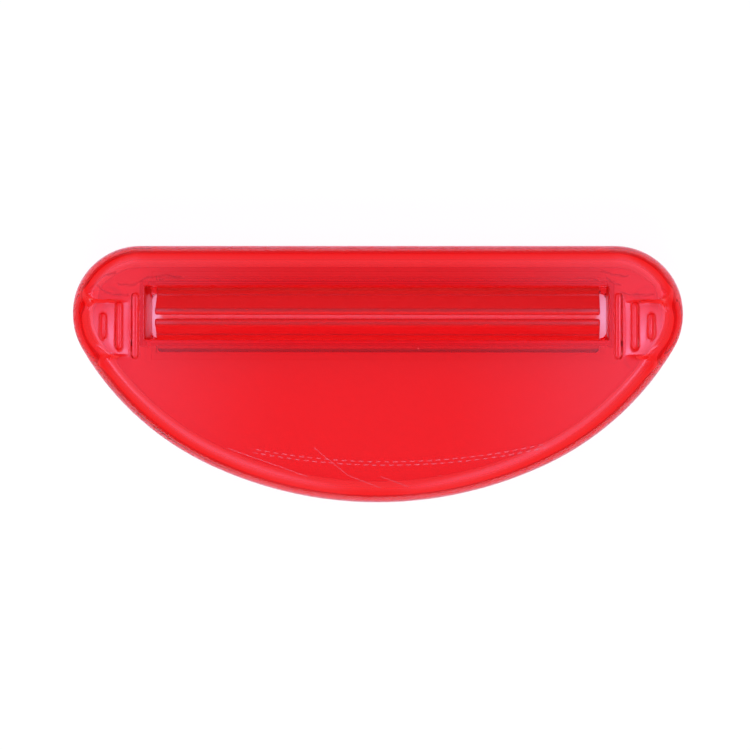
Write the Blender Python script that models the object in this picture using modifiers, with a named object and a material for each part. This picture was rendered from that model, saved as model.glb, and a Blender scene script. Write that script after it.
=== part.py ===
"""Toothpaste tube squeezer: a half-moon moulded housing with a sprung slot.

The tail of a tube goes in through the throat of the back cover, between two
sloping lips, and out of the window in the face. The housing is pushed down the
tube, and the lips press it flat. Units are metres. The part lies on its back:
X runs along the slot, Y points to the straight top edge, Z out of the face,
and the origin is the middle of the back of its box.
"""

import math

import bmesh
import bpy
import numpy as np
from mathutils import Matrix, Vector

# Outline of the housing: a straight top, two corners that turn on past the
# sides, and arcs for the flanks and the bottom that meet them smoothly
BODY_WIDTH = 0.108
BODY_HEIGHT = 0.0453
BODY_DEPTH = 0.013
CORNER_RADIUS = 0.012
CORNER_TURN = math.radians(30.5)

# Walls of the housing
EDGE_ROUND = 0.0033
BACK_EDGE_ROUND = 0.0005
SIDE_WALL = 0.0019
FACE_WALL = 0.0018
RIM_WALL = 0.0012

# Back cover
COVER_THICKNESS = 0.0016
COVER_EDGE_ROUND = 0.0003
THROAT_CORNER = 0.0013
THROAT_LEAD = 0.0006

# Window in the face and the tube of walls behind it
WINDOW_FROM_END = 0.0132
WINDOW_HALF_HEIGHT = 0.0047
TUBE_WALL = 0.00105

# Lips
SLOT_GAP = 0.00065
LIP_END_PLAY = 0.0014
LIP_NOSE_RADIUS = 0.00075
LIP_NOSE_RECESS = 0.0033
LIP_BLADE_THICKNESS = 0.001
LIP_SHOULDER_RISE = 0.0002
LIP_SHOULDER_FROM_ROOT = 0.002275
LIP_ROOT_RADIUS = 0.0009
LIP_ROOT_BESIDE_WINDOW = 0.001
LIP_END_ROUND = 0.00035
LIP_OPENING_ANGLE = math.radians(6.0)

# Seats of the lips on the cover
SEAT_WALL = 0.001
SEAT_FENCE_RISE = 0.0007
SEAT_HORN_DROP = 0.0005
SEAT_HORN_WALL = 0.0005
SEAT_END_WALL = 0.0008

# Thumb pads: flat slopes at the two ends of the face
PAD_LENGTH = 0.0104
PAD_SLOPE = math.radians(13.0)
PAD_ABOVE_SLOT = 0.0021
PAD_BELOW_SLOT = 0.0077
PAD_OUTSET = 0.0003
PAD_LIFT = 0.0002
PAD_HINGE_DROP = 0.001

# Grip ribs, from the window outwards
RIB_FROM_WINDOW = 0.0017
RIB_PITCH = 0.00288
RIB_LENGTHS = (0.0118, 0.0087, 0.0048)
RIB_RADIUS = 0.0008
RIB_RISE = 0.00045
RIB_ROW_BELOW_SLOT = 0.0023

# Clearances, and how far a cutter or a joined piece runs on
GAP = 0.0003
OVERRUN = 0.001
JOIN = 0.0004

# Fineness of the curved surfaces
STATIONS = 50
ROUND_STEPS = 6
ARC_STEPS = 10

# Colour of the plastic
PLASTIC_RED = (0.84, 0.02, 0.024, 1.0)
PLASTIC_DARK_RED = (0.72, 0.012, 0.02, 1.0)
PLASTIC_ROUGHNESS = 0.08

# Places worked out from the sizes above
SLOT_Y = BODY_HEIGHT / 2 - CORNER_RADIUS
WINDOW_HALF_LENGTH = BODY_WIDTH / 2 - WINDOW_FROM_END
PAD_START = BODY_WIDTH / 2 - PAD_LENGTH
RIB_FIRST = WINDOW_HALF_LENGTH + RIB_FROM_WINDOW
LIP_ROOT_FROM_SLOT = WINDOW_HALF_HEIGHT + LIP_ROOT_BESIDE_WINDOW
LIP_HALF_LENGTH = WINDOW_HALF_LENGTH - LIP_END_PLAY
ROOT_Z = COVER_THICKNESS + 2 * GAP + LIP_ROOT_RADIUS
NOSE_Y = SLOT_GAP / 2 + LIP_NOSE_RADIUS
NOSE_Z = BODY_DEPTH - LIP_NOSE_RECESS - LIP_NOSE_RADIUS
LIP_LEAN = math.atan2(LIP_ROOT_FROM_SLOT - NOSE_Y, NOSE_Z - ROOT_Z)
TUBE_BACK = COVER_THICKNESS + GAP
SEAT_BORE = LIP_ROOT_RADIUS + GAP
THROAT_HALF_HEIGHT = LIP_ROOT_FROM_SLOT - SEAT_BORE - SEAT_HORN_WALL

parts = bpy.data.collections.new("toothpaste_tube_squeezer")
cutters = bpy.data.collections.new("cutters")


def clear_scene():
    for old in list(bpy.data.objects):
        bpy.data.objects.remove(old)
    for collection in (parts, cutters):
        bpy.context.scene.collection.children.link(collection)


def plastic(name, colour):
    material = bpy.data.materials.new(name)
    material.use_nodes = True
    shader = material.node_tree.nodes["Principled BSDF"]
    shader.inputs["Base Color"].default_value = colour
    shader.inputs["Roughness"].default_value = PLASTIC_ROUGHNESS
    shader.inputs["Metallic"].default_value = 0.0
    return material


def object_from(bm, name, collection):
    bmesh.ops.recalc_face_normals(bm, faces=bm.faces[:])
    mesh = bpy.data.meshes.new(name)
    bm.to_mesh(mesh)
    bm.free()
    made = bpy.data.objects.new(name, mesh)
    collection.objects.link(made)
    if collection is cutters:
        made.hide_render = True
        made.display_type = "WIRE"
    return made


def boolean(target, tool, operation, solver="EXACT"):
    step = target.modifiers.new(tool.name, "BOOLEAN")
    step.operation = operation
    step.object = tool
    step.solver = solver


def lower_arcs():
    """Centres and radii of the arcs of the outline's lower right quarter.

    The flank arc leaves the corner arc where that ends its turn, and the bottom
    arc is level on the middle line. The two meet smoothly, with equally long
    tangents. Also gives the point where they meet.
    """
    corner = Vector((BODY_WIDTH / 2 - CORNER_RADIUS, BODY_HEIGHT / 2 - CORNER_RADIUS))
    outward = Vector((math.cos(CORNER_TURN), -math.sin(CORNER_TURN)))
    start = corner + outward * CORNER_RADIUS
    end = Vector((0.0, -BODY_HEIGHT / 2))
    runs = Vector((outward.y, -outward.x)), Vector((-1.0, 0.0))
    chord = end - start
    pull = chord.dot(runs[0] + runs[1])
    spread = 2 * (1 - runs[0].dot(runs[1]))
    tangent = (math.sqrt(pull**2 + spread * chord.length_squared) - pull) / spread
    meet = (start + end + (runs[0] - runs[1]) * tangent) / 2
    flank_radius = (meet - start).length_squared / (2 * (start - meet).dot(outward))
    bottom_radius = (meet - end).length_squared / (2 * (meet - end).y)
    flank = start - outward * flank_radius
    bottom = end + Vector((0.0, bottom_radius))
    return (corner, CORNER_RADIUS), (flank, flank_radius), (bottom, bottom_radius), meet


def outline_y(x, inset, upper):
    """Y of the outline moved in by inset, at distance x from the middle."""
    (corner, corner_radius), (flank, flank_radius), (bottom, bottom_radius), meet = lower_arcs()
    corner_r, flank_r, bottom_r = (r - inset for r in (corner_radius, flank_radius, bottom_radius))
    away = np.abs(x)
    corner_rise = np.sqrt(np.maximum(corner_r**2 - np.maximum(away - corner.x, 0.0) ** 2, 0.0))
    if upper:
        return corner.y + corner_rise
    on_flank = flank.y - np.sqrt(np.maximum(flank_r**2 - (away - flank.x) ** 2, 0.0))
    on_bottom = bottom.y - np.sqrt(np.maximum(bottom_r**2 - away**2, 0.0))
    flank_end = bottom + (meet - bottom).normalized() * bottom_r
    corner_end = corner.x + corner_r * math.cos(CORNER_TURN)
    lower = np.where(away < flank_end.x, on_bottom, on_flank)
    return np.where(away > corner_end, corner.y - corner_rise, lower)


def half_moon(name, rings, collection, slope_start=0.0, slope=0.0, hinge=(0.0, BODY_DEPTH)):
    """Closed solid lofted through rings (inset, z) of the outline.

    Every ring has the same stations across X, closer together near the ends,
    and the roof is ruled straight across Y between the two sides of the last
    ring. Where there is a slope, the solid falls away past slope_start: fully
    above the higher height of hinge, and not at all below the lower one.
    """
    bm = bmesh.new()
    share = np.sin(np.linspace(-math.pi / 2, math.pi / 2, STATIONS + 1))
    snapped = np.argmin(np.abs(share * BODY_WIDTH / 2 + slope_start))
    loops = []
    for inset, z in rings:
        x = (BODY_WIDTH / 2 - inset) * share
        if slope:
            x[snapped] = -slope_start
            x[STATIONS - snapped] = slope_start
        past = np.maximum(np.abs(x) - slope_start, 0.0)
        fall = past * math.tan(slope) * np.interp(z, hinge, (0.0, 1.0))
        top = zip(x, outline_y(x, inset, True), z - fall)
        low = list(zip(x, outline_y(x, inset, False), z - fall))[1:-1]
        loops.append(([bm.verts.new(p) for p in top], [bm.verts.new(p) for p in low]))
    for (upper_a, lower_a), (upper_b, lower_b) in zip(loops, loops[1:]):
        ring_a = upper_a + lower_a[::-1]
        ring_b = upper_b + lower_b[::-1]
        for i, (a, b) in enumerate(zip(ring_a, ring_b)):
            after = (i + 1) % len(ring_a)
            bm.faces.new((a, ring_a[after], ring_b[after], b))
    for upper, lower in (loops[0], loops[-1]):
        across = [upper[0]] + lower + [upper[-1]]
        for i in range(STATIONS):
            corners = (upper[i], upper[i + 1], across[i + 1], across[i])
            bm.faces.new(tuple(dict.fromkeys(corners)))
    return object_from(bm, name, collection)


def rounded_rings(inset, roof, radius):
    """Rings (inset, z) from half way up a side wall, over its rounded edge."""
    rings = [(inset, roof / 2)]
    for angle in np.linspace(0.0, math.pi / 2, ROUND_STEPS + 1):
        step_in = radius * (1 - math.cos(angle))
        rings.append((inset + step_in, roof - radius * (1 - math.sin(angle))))
    return rings


def prism(name, section, half_length, collection):
    """Closed polygon section in (y, z), extruded along X both ways."""
    bm = bmesh.new()
    start = [bm.verts.new((-half_length, y, z)) for y, z in section]
    face = bm.faces.new(start)
    grown = bmesh.ops.extrude_face_region(bm, geom=[face])["geom"]
    moved = [v for v in grown if isinstance(v, bmesh.types.BMVert)]
    bmesh.ops.translate(bm, verts=moved, vec=(2 * half_length, 0, 0))
    return object_from(bm, name, collection)


def box(name, low, high, collection=cutters):
    bm = bmesh.new()
    bmesh.ops.create_cube(bm, size=1.0)
    size = Vector(high) - Vector(low)
    middle = (Vector(high) + Vector(low)) / 2
    bmesh.ops.transform(bm, matrix=Matrix.LocRotScale(middle, None, size), verts=bm.verts[:])
    return object_from(bm, name, collection)


def arc(centre, radius, start, end, steps=ARC_STEPS):
    """Points on a circle in (y, z), from angle start to angle end."""
    angles = np.linspace(start, end, steps + 1)
    return [(centre[0] + radius * math.cos(a), centre[1] + radius * math.sin(a)) for a in angles]


def lower_pads(body, inset, roof, radius, border, hinge):
    """Lower the two ends of a half-moon to the slopes of the thumb pads.

    What is cut away is a block over each pad, less a half-moon that slopes. It
    stands out a little past the side wall, so that the wall itself stays, and
    its slope begins a little above the roof, which it crosses at the bend. The
    rounded edges nearly coincide there, which the MANIFOLD solver can take.
    """
    rings = [(inset - PAD_OUTSET, 0.0)]
    rings += rounded_rings(inset - PAD_OUTSET, roof + PAD_LIFT, radius + PAD_OUTSET)
    bend = PAD_START - (BODY_DEPTH - roof) * math.tan(PAD_SLOPE / 2)
    start = bend - PAD_LIFT / math.tan(PAD_SLOPE)
    for side in (-1, 1):
        ends = sorted((side * (start + bend) / 2, side * (BODY_WIDTH / 2 + OVERRUN)))
        block = box(
            f"{body.name}_pad_{side}",
            (ends[0], SLOT_Y - PAD_BELOW_SLOT - border, BODY_DEPTH / 2),
            (ends[1], SLOT_Y + PAD_ABOVE_SLOT + border, BODY_DEPTH + OVERRUN),
        )
        sloped = half_moon(f"{block.name}_slope", rings, cutters, start, PAD_SLOPE, hinge)
        boolean(block, sloped, "DIFFERENCE", "MANIFOLD")
        boolean(body, block, "DIFFERENCE", "MANIFOLD")


def grip_rib(name, x, length):
    """Long pill with round ends, sunk into the face it stands on."""
    bm = bmesh.new()
    bmesh.ops.create_uvsphere(bm, u_segments=16, v_segments=9, radius=RIB_RADIUS)
    bmesh.ops.rotate(bm, verts=bm.verts[:], matrix=Matrix.Rotation(math.pi / 2, 3, "X"))
    for v in bm.verts:
        v.co.y += math.copysign(length / 2 - RIB_RADIUS, v.co.y)
    surface = BODY_DEPTH - max(abs(x) - PAD_START, 0.0) * math.tan(PAD_SLOPE)
    place = (x, SLOT_Y - RIB_ROW_BELOW_SLOT, surface + RIB_RISE - RIB_RADIUS)
    bmesh.ops.translate(bm, verts=bm.verts[:], vec=place)
    return object_from(bm, name, cutters)


def foot_z(y):
    """Height of the slanted foot of a tube wall, at distance y from the slot.

    It lies along the outer face of a lip that is fully open, one gap off it.
    """
    lean = LIP_LEAN - LIP_OPENING_ANGLE
    reach = LIP_BLADE_THICKNESS / 2 + LIP_SHOULDER_RISE + GAP
    return ROOT_Z + (reach - (y - LIP_ROOT_FROM_SLOT) * math.cos(lean)) / math.sin(lean)


def front_shell():
    rings = [(BACK_EDGE_ROUND, 0.0), (0.0, BACK_EDGE_ROUND)]
    rings += rounded_rings(0.0, BODY_DEPTH, EDGE_ROUND)
    shell = half_moon("front_shell", rings, parts)
    pad_hinge = BODY_DEPTH - EDGE_ROUND - PAD_HINGE_DROP
    lower_pads(shell, 0.0, BODY_DEPTH, EDGE_ROUND, 0.0, (pad_hinge, BODY_DEPTH))

    roof = BODY_DEPTH - FACE_WALL
    radius = EDGE_ROUND - SIDE_WALL
    rings = [(RIM_WALL, -OVERRUN), (RIM_WALL, TUBE_BACK), (SIDE_WALL, TUBE_BACK)]
    rings += rounded_rings(SIDE_WALL, roof, radius)
    hollow = half_moon("shell_hollow", rings, cutters)
    lower_pads(hollow, SIDE_WALL, roof, radius, FACE_WALL, (roof / 2, roof - radius))
    boolean(shell, hollow, "DIFFERENCE")

    tube_length = WINDOW_HALF_LENGTH + TUBE_WALL
    tube_height = WINDOW_HALF_HEIGHT + TUBE_WALL
    tube = box(
        "window_tube",
        (-tube_length, SLOT_Y - tube_height, TUBE_BACK),
        (tube_length, SLOT_Y + tube_height, roof + JOIN),
    )
    boolean(shell, tube, "UNION")
    foot_out = tube_height + JOIN
    half = [
        (WINDOW_HALF_HEIGHT, BODY_DEPTH + OVERRUN),
        (WINDOW_HALF_HEIGHT, foot_z(WINDOW_HALF_HEIGHT)),
        (foot_out, foot_z(foot_out)),
        (foot_out, TUBE_BACK - OVERRUN),
    ]
    section = [(SLOT_Y + y, z) for y, z in half]
    section += [(SLOT_Y - y, z) for y, z in reversed(half)]
    boolean(shell, prism("window_channel", section, WINDOW_HALF_LENGTH, cutters), "DIFFERENCE")

    for side in (-1, 1):
        for number, length in enumerate(RIB_LENGTHS):
            x = side * (RIB_FIRST + number * RIB_PITCH)
            boolean(shell, grip_rib(f"rib_{side}_{number}", x, length), "UNION")
    return shell


def rounded_block(name, half_x, half_y, radius, rings):
    """Closed block on the slot with round corners, through rings (grow, z)."""
    bm = bmesh.new()
    corners = ((1, 1, 0.0), (-1, 1, math.pi / 2), (-1, -1, math.pi), (1, -1, 1.5 * math.pi))
    loops = []
    for grow, z in rings:
        loop = []
        for sign_x, sign_y, turn in corners:
            centre = (sign_x * (half_x - radius), sign_y * (half_y - radius))
            for x, y in arc(centre, radius + grow, turn, turn + math.pi / 2, ROUND_STEPS):
                loop.append(bm.verts.new((x, SLOT_Y + y, z)))
        loops.append(loop)
    for low, high in zip(loops, loops[1:]):
        for i, vert in enumerate(low):
            after = (i + 1) % len(low)
            bm.faces.new((vert, low[after], high[after], high[i]))
    bm.faces.new(loops[0])
    bm.faces.new(loops[-1])
    return object_from(bm, name, cutters)


def seat_section(side, grooved):
    """Section of a lip's seat: a fence, a round groove and a low horn."""
    fence = LIP_ROOT_FROM_SLOT + SEAT_BORE
    inner = THROAT_HALF_HEIGHT - JOIN
    fence_top = ROOT_Z + SEAT_FENCE_RISE
    horn_top = ROOT_Z - SEAT_HORN_DROP
    section = [(inner, COVER_THICKNESS - JOIN), (fence + SEAT_WALL, COVER_THICKNESS - JOIN)]
    section.append((fence + SEAT_WALL, fence_top))
    if grooved:
        low_end = math.asin(SEAT_HORN_DROP / SEAT_BORE) - math.pi
        section.append((fence, fence_top))
        section += arc((LIP_ROOT_FROM_SLOT, ROOT_Z), SEAT_BORE, 0.0, low_end)
    else:
        section.append((fence, fence_top))
    section.append((inner, horn_top))
    return [(SLOT_Y + side * y, z) for y, z in section]


def back_cover():
    inset = RIM_WALL + GAP
    rings = [
        (inset + COVER_EDGE_ROUND, 0.0),
        (inset, COVER_EDGE_ROUND),
        (inset, COVER_THICKNESS - COVER_EDGE_ROUND),
        (inset + COVER_EDGE_ROUND, COVER_THICKNESS),
    ]
    cover = half_moon("back_cover", rings, parts)
    groove_end = LIP_HALF_LENGTH + GAP
    for side in (-1, 1):
        seat = prism(f"seat_{side}", seat_section(side, True), groove_end + JOIN, cutters)
        boolean(cover, seat, "UNION")
        for end in (-1, 1):
            wall = prism(f"seat_end_{side}_{end}", seat_section(side, False), SEAT_END_WALL / 2, cutters)
            wall.location.x = end * (groove_end + SEAT_END_WALL / 2)
            boolean(cover, wall, "UNION")
    rings = [
        (THROAT_LEAD + OVERRUN, -OVERRUN),
        (0.0, THROAT_LEAD),
        (0.0, ROOT_Z + OVERRUN),
    ]
    throat = rounded_block("throat", WINDOW_HALF_LENGTH, THROAT_HALF_HEIGHT, THROAT_CORNER, rings)
    boolean(cover, throat, "DIFFERENCE")
    return cover


def lip(name, side):
    """Sloping bar with a round root, a thin blade and a round nose.

    Its section is drawn along the blade (from root to nose) and across it
    (outwards), and the object's origin is the axis that the root turns on.
    """
    length = math.hypot(LIP_ROOT_FROM_SLOT - NOSE_Y, NOSE_Z - ROOT_Z)
    half = LIP_BLADE_THICKNESS / 2
    thick = half + LIP_SHOULDER_RISE
    shoulder = (LIP_SHOULDER_FROM_ROOT + half * math.cos(LIP_LEAN)) / math.sin(LIP_LEAN)
    root_in = -math.asin(half / LIP_ROOT_RADIUS)
    root_out = math.asin(thick / LIP_ROOT_RADIUS) - 2 * math.pi
    nose_turn = math.pi - math.asin(half / LIP_NOSE_RADIUS)
    drawn = arc((0.0, 0.0), LIP_ROOT_RADIUS, root_in, root_out)
    drawn += [(shoulder - LIP_SHOULDER_RISE, thick), (shoulder, half)]
    drawn += arc((length, 0.0), LIP_NOSE_RADIUS, nose_turn, -nose_turn)
    section = []
    for along, across in drawn:
        y = across * math.cos(LIP_LEAN) - along * math.sin(LIP_LEAN)
        z = along * math.cos(LIP_LEAN) + across * math.sin(LIP_LEAN)
        section.append((side * y, z))
    made = prism(name, section, LIP_HALF_LENGTH, parts)
    made.location = (0, SLOT_Y + side * LIP_ROOT_FROM_SLOT, ROOT_Z)
    rounding = made.modifiers.new("round_ends", "BEVEL")
    rounding.width = LIP_END_ROUND
    rounding.segments = 3
    rounding.limit_method = "ANGLE"
    rounding.angle_limit = math.radians(70.0)
    return made


def main():
    clear_scene()
    clear_red = plastic("clear_red_polystyrene", PLASTIC_RED)
    deep_red = plastic("deep_red_polypropylene", PLASTIC_DARK_RED)
    pieces = [
        (front_shell(), clear_red),
        (back_cover(), clear_red),
        (lip("upper_lip", 1), deep_red),
        (lip("lower_lip", -1), deep_red),
    ]
    for piece, material in pieces:
        piece.data.materials.append(material)
        piece.data.shade_smooth()
        piece.data.set_sharp_from_angle(angle=math.radians(30.0))


main()
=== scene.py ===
"""Looks of the toothpaste tube squeezer: fine moulded surfaces in clear red plastic.

Every shape is a grid of points worked out with numpy, in metres, in the frame of
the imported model. Sizes that the model already has are read from its bodies; the
rest are named here.
"""

import math

import bmesh
import bpy
import numpy as np
from mathutils import Matrix, Vector


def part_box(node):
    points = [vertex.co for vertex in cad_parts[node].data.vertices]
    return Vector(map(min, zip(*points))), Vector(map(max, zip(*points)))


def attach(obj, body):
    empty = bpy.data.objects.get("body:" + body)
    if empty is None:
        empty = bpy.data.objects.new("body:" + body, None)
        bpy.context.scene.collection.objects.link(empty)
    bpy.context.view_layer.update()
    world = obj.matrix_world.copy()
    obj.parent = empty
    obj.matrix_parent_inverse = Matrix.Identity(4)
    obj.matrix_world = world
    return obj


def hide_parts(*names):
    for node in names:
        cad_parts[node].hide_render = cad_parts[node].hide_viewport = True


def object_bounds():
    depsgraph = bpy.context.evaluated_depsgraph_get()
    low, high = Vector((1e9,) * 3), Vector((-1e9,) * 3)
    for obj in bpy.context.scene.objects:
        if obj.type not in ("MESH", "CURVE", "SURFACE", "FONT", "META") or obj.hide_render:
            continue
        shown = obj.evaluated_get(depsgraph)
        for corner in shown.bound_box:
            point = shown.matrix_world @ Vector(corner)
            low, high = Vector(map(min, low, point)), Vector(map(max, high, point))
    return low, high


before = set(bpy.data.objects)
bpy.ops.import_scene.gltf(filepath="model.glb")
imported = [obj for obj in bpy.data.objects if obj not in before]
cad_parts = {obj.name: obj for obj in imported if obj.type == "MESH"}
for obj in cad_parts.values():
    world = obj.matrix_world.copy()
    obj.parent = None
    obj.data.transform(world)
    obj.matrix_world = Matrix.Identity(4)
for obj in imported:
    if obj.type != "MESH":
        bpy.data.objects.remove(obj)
cad_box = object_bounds()

MM = 0.001

# The housing's outline, as the model has it
HALF_WIDTH, HALF_HEIGHT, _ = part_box("front_shell")[1]
FACE_Z = 13.0 * MM
CORNER_RADIUS = 12.0 * MM
CORNER_TURN = math.radians(30.5)
SLOT_Y = HALF_HEIGHT - CORNER_RADIUS

# Where stations round the outline pass from the long sides of the window to its
# short side, as turns of the outline's normal
TOP_TURN = math.radians(52)
LOW_TURN = math.radians(-46)
TOP_STATIONS, SIDE_STATIONS, LOW_STATIONS = 44, 100, 66

# Rows of the housing's profile: across the face, under it, up a wall, and round
# its outer edge, its inner corner and the window's lead
FACE_ROWS, ROOF_ROWS, WALL_ROWS = 108, 22, 7
EDGE_TURNS, INNER_TURNS, LEAD_TURNS = 19, 11, 5

# Stations of the cover's throat, rows of its grooves, and a lip's points round its
# root and nose, with its stations along X and at an end
THROAT_EVEN, THROAT_TURNS, THROAT_SIDE, GROOVE_TURNS = 30, 6, 8, 15
ROOT_TURNS, NOSE_TURNS, LIP_STATIONS, LIP_END_TURNS = 12, 14, 41, 7

# Meshes: points this close are one, and edges turned more than this stay sharp
MERGE_DISTANCE = 2e-6
THINNEST_FACE = 1e-7
SHARP_ANGLE = math.radians(32.0)

# Walls of the housing, and the depth in which a mark counts as on a surface
EDGE_ROUND = 3.3 * MM
BACK_EDGE_ROUND = 0.5 * MM
BACK_EDGE_BULGE = 0.3
INNER_ROUND = 2.5 * MM
SIDE_WALL = 1.9 * MM
FACE_WALL = 1.8 * MM
RIM_WALL = 1.2 * MM
REBATE_DEPTH = 1.9 * MM
FACE_SKIN = 0.1 * MM
WALL_SKIN = 0.05 * MM

# Window and the tube of walls behind it
WINDOW_HALF_LENGTH = 40.8 * MM
WINDOW_HALF_HEIGHT = 4.7 * MM
WINDOW_LEAD = 0.22 * MM
TUBE_WALL = 1.05 * MM

# Thumb pads
PAD_START = 43.6 * MM
PAD_SLOPE = math.radians(13.0)
PAD_ABOVE_SLOT = 2.1 * MM
PAD_BELOW_SLOT = 7.7 * MM
PAD_STEP_WIDTH = 0.6 * MM
PAD_INNER_STEP_WIDTH = 3.6 * MM
PAD_STEP_FADE = 2.8 * MM
PAD_STEP_FADE_FROM = 49.4 * MM
PAD_STEP_FADE_TO = 53.0 * MM
PAD_LOWER_FADE_SOONER = 2.4 * MM
PAD_HINGE_DROP = 1.0 * MM
PAD_LENGTH = 10.4 * MM
PAD_CROWN = 0.09 * MM

# Grip ribs
RIB_FIRST = 42.5 * MM
RIB_PITCH = 2.88 * MM
RIB_LENGTHS = (11.8 * MM, 8.7 * MM, 4.8 * MM)
RIB_HALF_WIDTH = 0.78 * MM
RIB_RISE = 0.4375 * MM
RIB_CROWN = 0.12 * MM
RIB_FLANK = 0.45
RIB_ROW_BELOW_SLOT = 2.3 * MM

# Lips
LIP_ROOT_RADIUS = 0.9 * MM
LIP_NOSE_RADIUS = 0.75 * MM
LIP_BLADE_THICKNESS = 1.0 * MM
LIP_SHOULDER_RISE = 0.2 * MM
LIP_SHOULDER_FROM_ROOT = 2.275 * MM
LIP_END_ROUND = 0.35 * MM
LIP_CORNER_ROUND = 1.3 * MM
LIP_CORNER_EASE = 0.96
LIP_END_REACH = 1.6 * MM
LIP_OPENING_ANGLE = math.radians(6.0)
NOSE_Y = 1.075 * MM
NOSE_Z = 8.95 * MM
ROOT_Y = 5.7 * MM
ROOT_Z = 3.1 * MM
NOSES_BELOW_SLOT = 0.5 * MM

# Back cover
COVER_THICKNESS = 1.6 * MM
COVER_EDGE_ROUND = 0.3 * MM
COVER_GAP = 0.3 * MM
THROAT_HALF_HEIGHT = 4.0 * MM
THROAT_CORNER = 1.3 * MM
THROAT_LEAD = 0.6 * MM
SEAT_BORE = 1.2 * MM
SEAT_WALL = 1.0 * MM
SEAT_FENCE_RISE = 0.7 * MM
SEAT_HORN_DROP = 0.5 * MM
SEAT_FOOT = 0.5 * MM
SEAT_END = 40.5 * MM
GROOVE_END = 39.7 * MM
EVEN_STATIONS_END = 39.0 * MM
STATION_GAP = 0.2 * MM
STATION_STEP = 0.02 * MM
THROAT_CORNER_START = 0.15 * MM

# Floor
FLOOR_HALF = 3.0
FLOOR_GAP = 0.02 * MM
CARD_INSET = 1.5 * MM
CARD_POINTS = 90

# Camera: the foot of its plumb line on the face and its distance, read from how
# far deep edges shift in the photograph, and the photograph's scale
MM_PER_PIXEL = 0.1756
PHOTO_SIDE = 750
PHOTO_SLOT = (376.0, 312.8)
PHOTO_MIDDLE = (375.0, 375.0)
PHOTO_FOOT = (485.0, 470.0)
CAMERA_HEIGHT = 0.55
CAMERA_ROLL = math.radians(0.15)
SENSOR_WIDTH = 36.0
NEAREST_SEEN = 0.01
LIGHT_BOUNCES = 24
WHITE = (1.0, 1.0, 1.0, 1.0)

# Light: softboxes over the floor as (name, azimuth, tilt, size, power, colour), seen
# by matt surfaces alone
LAMP_DISTANCE = 1.2
LAMPS = (
    ("softbox_front", 270, 45, (0.6, 0.4), 9.3, (1.0, 1.0, 1.0)),
    ("softbox_rear", 90, 45, (0.6, 0.4), 2.4, (1.0, 1.0, 1.0)),
    ("strip_front", 270, 12.3, (0.25, 0.46), 6.0, (0.55, 0.62, 1.0)),
    ("strip_rear", 90, 12, (0.25, 0.46), 6.0, (0.55, 0.62, 1.0)),
)

# The white tent that gloss mirrors. Places are X, Y or Z of a direction and levels
# are radiances. A fade is (from, to, level at from, level at to), or 0 to 1, and a
# softbox is (middle, reach in X and Y, level at the middle)
ROOM_LEVEL = 0.12
TENT_SLIT_MIDDLE = -0.038
TENT_SLIT = (0.02, 0.12, 0.32, 1.5)
TENT_SIDES = (0.2, 0.42, 0.0, -1.05)
TENT_FOOT = (0.35, 0.9, 0.4, 1.0)
TENT_FAR = (0.2, 0.8, 1.0, 0.5)
TENT_HORIZON = (0.45, 0.1, 0.0, 0.75)
TENT_COLOUR_RISE = (0.5, 0.85)
TENT_COLOUR = (0.6, 0.58, 1.0, 1.0)
TENT_FOOT_COLOUR = (0.72, 0.6, 0.76, 1.0)
SOFTBOXES = (
    ((-0.52, 0.045, 0.0), (0.1, 0.11), 3.2),
    ((0.46, 0.04, 0.0), (0.1, 0.11), 4.0),
    ((-0.52, 0.015, 0.0), (0.015, 0.06), 3.0),
    ((0.46, 0.01, 0.0), (0.015, 0.06), 3.0),
)
TUBE_LIGHT_APART = 0.22
TUBE_LIGHT_ACROSS = (0.08, 0.0, 0.0, 3.6)
TUBE_LIGHT_ENDS = (0.14, 0.04)
TUBE_LIGHT_LOWEST = 0.5

# Marks of use on the face: two dashed arcs, scratches from end to end, and specks
ARC_CENTRE = (1.7 * MM, 109.5 * MM, 0.0)
ARC_RADII = (125.0 * MM, 125.6 * MM)
ARC_ENDS = (-21.5 * MM, 29.5 * MM)
ARC_FADE = 1.0 * MM
ARC_LINE = (0.17 * MM, 0.04 * MM)
ARC_DASH = 1.5 * MM
ARC_DASH_SHARE = 0.56
ARC_STAGGER = 0.45
ARC_SHARE = 0.42
SCRATCHES = (
    ((-26.0 * MM, -13.2 * MM), (-12.1 * MM, -18.1 * MM)),
    ((-10.8 * MM, -13.1 * MM), (-4.9 * MM, -17.9 * MM)),
    ((-4.9 * MM, -17.9 * MM), (3.0 * MM, -20.9 * MM)),
    ((0.9 * MM, -18.1 * MM), (7.7 * MM, -20.6 * MM)),
)
SCRATCH_WIDTH = 0.12 * MM
SCRATCH_SHARE = 0.45

# Specks of dust: cells of the face, the share of them that hold none, and the
# distance from a cell's middle, in cells, over which a speck fades
SPECK_SPACING = 3.846 * MM
SPECK_RARITY = 0.86
SPECK_EDGE = (0.035, 0.015)

# Weld lines in the shoulders, where the plastic's streams met in the mould, as
# places in mm, and how far and over what length they wander. Dark lines of painted
# shade are laid along them
WELD_LINES = (
    ((-45.5, 16.0), (-42.7, 15.7), (-40.3, 17.0), (-37.1, 17.2), (-34.5, 17.1)),
    ((-49.4, 15.6), (-47.8, 14.3), (-46.3, 14.0), (-43.9, 13.7)),
    ((-50.6, 14.8), (-48.2, 17.2), (-46.1, 17.8)),
    ((40.4, 16.8), (41.6, 16.2), (42.8, 15.6)),
    ((39.4, 18.0), (41.5, 17.4), (44.2, 17.2)),
    ((42.9, 14.2), (45.5, 13.8), (48.6, 14.0)),
)
WELD_WIDTH = 0.26 * MM
WELD_WANDER = 1.4 * MM
WELD_WANDER_LENGTH = 2.381 * MM
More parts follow.
